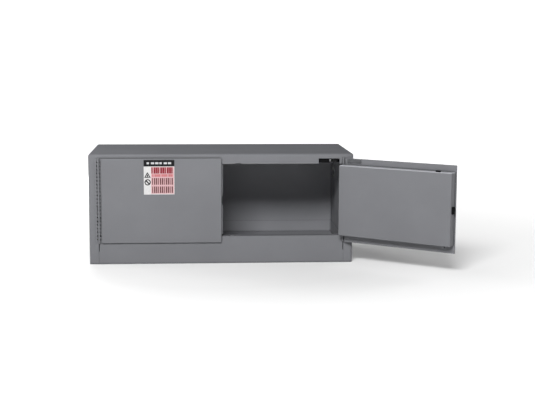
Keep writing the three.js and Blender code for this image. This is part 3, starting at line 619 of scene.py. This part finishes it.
def hinge_turn():
    """Places the right door's pieces, drawn with the door closed, where the open door stands."""
    joint = next(j for j in frame["joints"] if j["name"] == "right_door_hinge")
    pivot = Matrix.Translation(Vector(joint["pos_m"]))
    return pivot @ Matrix.Rotation(math.radians(-joint["range_deg"][0]), 4, "Z") @ pivot.inverted()


def around(middle, half):
    """The range that reaches half to either side of the middle."""
    return (middle - half, middle + half)


def add_left_door(window_z):
    """Skin and pan in the places of their CAD boxes, uncut but for the window."""
    skin_lo, skin_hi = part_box("left_door_skin")
    pan_lo, pan_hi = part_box("left_door_pan")
    window = (pan_lo.x + WINDOW_LIP + HINGE_LIP_EXTRA, pan_hi.x - WINDOW_LIP)
    formed_box("left_door_skin_formed", skin_lo, skin_hi, ("back", window, window_z), [], BEND,
               None, "left_door", "left_door_skin")
    formed_box("left_door_pan_formed", pan_lo, pan_hi, ("front", window, window_z), [], PAN_BEND,
               None, "left_door", "left_door_pan")


def add_right_door(window_z):
    """The left door's CAD boxes, mirrored, give the sizes; the hardware's holes are cut."""
    skin_lo, skin_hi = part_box("left_door_skin")
    pan_lo, pan_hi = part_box("left_door_pan")
    window = (RIGHT_FREE_X + WINDOW_LIP, -pan_lo.x - WINDOW_LIP - HINGE_LIP_EXTRA)
    turn = hinge_turn()
    shaft_x, shaft_z = (around(middle, SHAFT_HOLE_HALF) for middle in SHAFT_PLACE)
    lo, hi = (-skin_hi.x, skin_lo.y, skin_lo.z), (-skin_lo.x, skin_hi.y, skin_hi.z)
    formed_box("right_door_skin_formed", lo, hi, ("back", window, window_z),
               [("front", shaft_x, shaft_z)], BEND, turn, "right_door", "right_door_skin")
    holes = [
        ("top", around(TOP_ROD_X, TOP_ROD_HOLE_HALF), ROD_HOLES_Y),
        ("bottom", around(BOTTOM_ROD_X, BOTTOM_ROD_HOLE_HALF), ROD_HOLES_Y),
        ("left", NOSE_HOLE_Y, around(NOSE_Z, NOSE_HOLE_HALF)),
    ]
    lo, hi = (RIGHT_FREE_X, pan_lo.y, pan_lo.z), (-pan_lo.x, pan_hi.y, pan_hi.z)
    formed_box("right_door_pan_formed", lo, hi, ("front", window, window_z),
               holes, PAN_BEND, turn, "right_door", "right_door_pan")


def add_doors():
    """Skins and inner pans of both doors, with windows of the same height between them."""
    pan_lo, pan_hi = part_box("left_door_pan")
    window_z = (pan_lo.z + WINDOW_LIP, pan_hi.z - WINDOW_LIP)
    add_left_door(window_z)
    add_right_door(window_z)


# ---- label print -----------------------------------------------------------------------------
def add_label_print():
    """Generic marks in place of a printed notice: dashes and bars for its lines, two plain signs.

    Places are shares of the label's width (u) and height (v), from its lower left corner.
    """
    lo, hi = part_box("hazard_label")
    width, height = hi.x - lo.x, hi.z - lo.z
    front = lo.y
    sheet = Sheet()
    inks = list(INKS)
    black = inks.index("black")

    def at(u, v):
        return lo.x + u * width, lo.z + v * height

    def mark(u0, u1, v0, v1, ink, raised=INK_RAISE):
        (x0, z0), (x1, z1) = at(u0, v0), at(u1, v1)
        sheet.slab((x0, front - raised, z0), (x1, front + INK_SUNK, z1), inks.index(ink))

    def row(u0, u1, v0, v1, ink, count, fill):
        """Marks of uneven length in a line, printed over the panel behind them."""
        pitch = (u1 - u0) / count
        for i in range(count):
            wide = fill * (1.15 if i % 3 else 0.8)
            mark(u0 + i * pitch, u0 + (i + wide) * pitch, v0, v1, ink, 2 * INK_RAISE)

    def ring(centre, outer, inner, sides, first_angle=0.0):
        cx, cz = at(*centre)
        face = front - INK_RAISE
        angles = [math.radians(first_angle + 360 * i / sides) for i in range(sides)]
        loops = [[(cx + r * math.cos(a), y, cz + r * math.sin(a)) for a in angles]
                 for r, y in ((outer, face), (inner, face), (inner, front), (outer, front))]
        for first, second in zip(loops, loops[1:] + loops[:1]):
            for i in range(sides):
                j = (i + 1) % sides
                sheet.face((first[i], first[j], second[j], second[i]), black)

    def slash(centre, reach, half):
        cx, cz = at(*centre)
        slant = 0.7071
        along, side = Vector((-slant, slant)), Vector((slant, slant))
        corners = [along * a * reach + side * b * half for a, b in ((1, -1), (-1, -1), (-1, 1), (1, 1))]
        outer = [(cx + c.x, front - INK_RAISE, cz + c.y) for c in corners]
        inner = [(x, front, z) for x, _, z in outer]
        sheet.face(outer, black)
        for i in range(4):
            j = (i + 1) % 4
            sheet.face((outer[i], inner[i], inner[j], outer[j]), black)

    mark(0.0, 1.0, 0.815, 1.0, "black")
    row(0.1, 0.93, 0.88, 0.935, "white", 6, 0.66)
    mark(0.235, 0.985, 0.02, 0.8, "blush")
    row(0.25, 0.97, 0.61, 0.79, "red", 10, 0.76)
    row(0.27, 0.95, 0.515, 0.59, "pink", 9, 0.84)
    for v0, v1 in ((0.285, 0.48), (0.045, 0.235)):
        row(0.27, 0.97, v0, v1, "maroon", 11, 0.56)
    ring((0.12, 0.545), 0.0155, 0.0086, 3, 90)
    mark(0.1, 0.14, 0.52, 0.575, "black")
    ban_sign = (0.125, 0.355)
    ring(ban_sign, 0.0128, 0.0086, 32)
    slash(ban_sign, 0.0092, 0.0026)
    sheet.finish("label_print", list(INKS.values()), "left_door")


# ---- CAD nodes -------------------------------------------------------------------------------
DEFAULT_EDGE_BREAK = 0.00035
EDGE_BREAKS = {                 # by the start of a node's name
    "hinge_": 0.0003, "vent_cap": 0.0012, "vent_bushing": 0.0006, "vent_gasket": 0.0005,
    "handle_escutcheon": 0.001, "handle_lever": 0.0018, "key_plug": 0.0003, "catch_housing": 0.0008,
    "catch_arm": 0.0004, "catch_roller": 0.0008, "catch_pin": 0.0004, "top_bullet": 0.0012,
    "bottom_bullet": 0.0012, "centre_nose": 0.0016, "hazard_label": 0.0001, "handle_spring": 0,
    "flame_arrester": 0.0003, "ground_": 0.0004,
}


def finish_cad_nodes():
    """Gives the CAD nodes that stay in view their material and rounded edges."""
    slots = {row["node"]: row["material_slot"] for row in frame["record"]["subparts"]}
    for name, obj in frame["nodes"].items():
        if obj.hide_render:
            continue
        material = MATERIALS[slots[name]]
        if name.startswith("flame_arrester"):
            material = SCREEN
        elif name.endswith("catch_bracket") or name == "bottom_bullet":
            material = BLACKENED
        elif name.startswith("catch_housing") or name in ("centre_nose", "top_bullet"):
            material = MATT_BLACK
        obj.data.materials.clear()
        obj.data.materials.append(material)
        widths = (w for prefix, w in EDGE_BREAKS.items() if name.startswith(prefix))
        soften(obj, next(widths, DEFAULT_EDGE_BREAK))


# ---- room ------------------------------------------------------------------------------------
def add_floor():
    """Pale studio floor that curves up into a backdrop well behind the cabinet."""
    half, near, far, radius, height = 24.0, -24.0, 5.0, 2.5, 4.5
    profile = [(near, 0.0)]
    profile += [(far + radius * math.sin(a), radius - radius * math.cos(a))
                for a in (math.radians(90 * i / 16) for i in range(17))]
    profile.append((far + radius, height))
    sheet = Sheet()
    for (y0, z0), (y1, z1) in zip(profile, profile[1:]):
        sheet.face(((-half, y0, z0), (half, y0, z0), (half, y1, z1), (-half, y1, z1)))
    data = bpy.data.meshes.new("floor")
    sheet.mesh.to_mesh(data)
    sheet.mesh.free()
    data.polygons.foreach_set("use_smooth", [True] * len(data.polygons))
    s = Shader("floor")
    s.colour(s.mix(s.spread(s.noise(1.5), 0.3, 0.7), (0.69, 0.69, 0.69), (0.71, 0.71, 0.71)))
    s.set(Roughness=0.9, Specular_IOR_Level=0.1, Emission_Color=(1, 1, 1, 1))
    # A pale glow that grows with the distance from the cabinet
    away = s.nodes.new("ShaderNodeVectorMath")
    away.operation = "LENGTH"
    s.links.new(s.place, away.inputs[0])
    glow = s.spread(away.outputs["Value"], 0.7, 3.2, 0.1, 0.8)
    s.links.new(glow, s.principled.inputs["Emission Strength"])
    data.materials.append(s.material)
    floor = bpy.data.objects.new("floor", data)
    bpy.context.scene.collection.objects.link(floor)


def direction(azimuth, elevation):
    """Unit vector towards a light; azimuth 0 is straight in front, positive to the right."""
    a, e = math.radians(azimuth), math.radians(elevation)
    return Vector((math.sin(a) * math.cos(e), -math.cos(a) * math.cos(e), math.sin(e)))


def add_light(name, kind, towards, power, distance=6.0, **settings):
    data = bpy.data.lights.new(name, kind)
    data.energy = power
    for key, value in settings.items():
        setattr(data, key, value)
    light = bpy.data.objects.new(name, data)
    light.location = Vector(LIT_POINT) + towards * distance
    light.rotation_euler = (-towards).to_track_quat("-Z", "Y").to_euler()
    bpy.context.scene.collection.objects.link(light)


def add_lights():
    add_light("key", "AREA", direction(-12, 33), 455, shape="RECTANGLE", size=2.6, size_y=1.2)
    add_light("left_fill", "SUN", direction(-117, 30), 0.35, angle=math.radians(18))
    add_light("left_lamp", "AREA", direction(-88, 36), 7, distance=1.75, shape="DISK", size=0.7)
    add_light("right_fill", "SUN", direction(122, 31), 0.6, angle=math.radians(25))
    add_light("back_lamp", "AREA", direction(-156, 14), 46, distance=3.2, shape="DISK", size=1.2)


def add_world():
    """White surroundings, bright at the horizon and dark overhead."""
    world = bpy.data.worlds.new("studio")
    world.use_nodes = True
    nodes, links = world.node_tree.nodes, world.node_tree.links
    split = nodes.new("ShaderNodeSeparateXYZ")
    fade = nodes.new("ShaderNodeMapRange")
    for name, number in (("From Min", 0.02), ("From Max", 0.17), ("To Min", 0.97), ("To Max", 0.03)):
        fade.inputs[name].default_value = number
    links.new(nodes.new("ShaderNodeTexCoord").outputs["Generated"], split.inputs[0])
    links.new(split.outputs["Z"], fade.inputs["Value"])
    links.new(fade.outputs["Result"], nodes["Background"].inputs["Strength"])
    nodes["Background"].inputs["Color"].default_value = (1, 1, 1, 1)
    bpy.context.scene.world = world


add_camera()
add_outer_shell()
add_back_flanges()
add_back_welds()
add_doors()
add_label_print()
finish_cad_nodes()
add_floor()
add_lights()
add_world()
bpy.context.scene.view_settings.view_transform = "Standard"
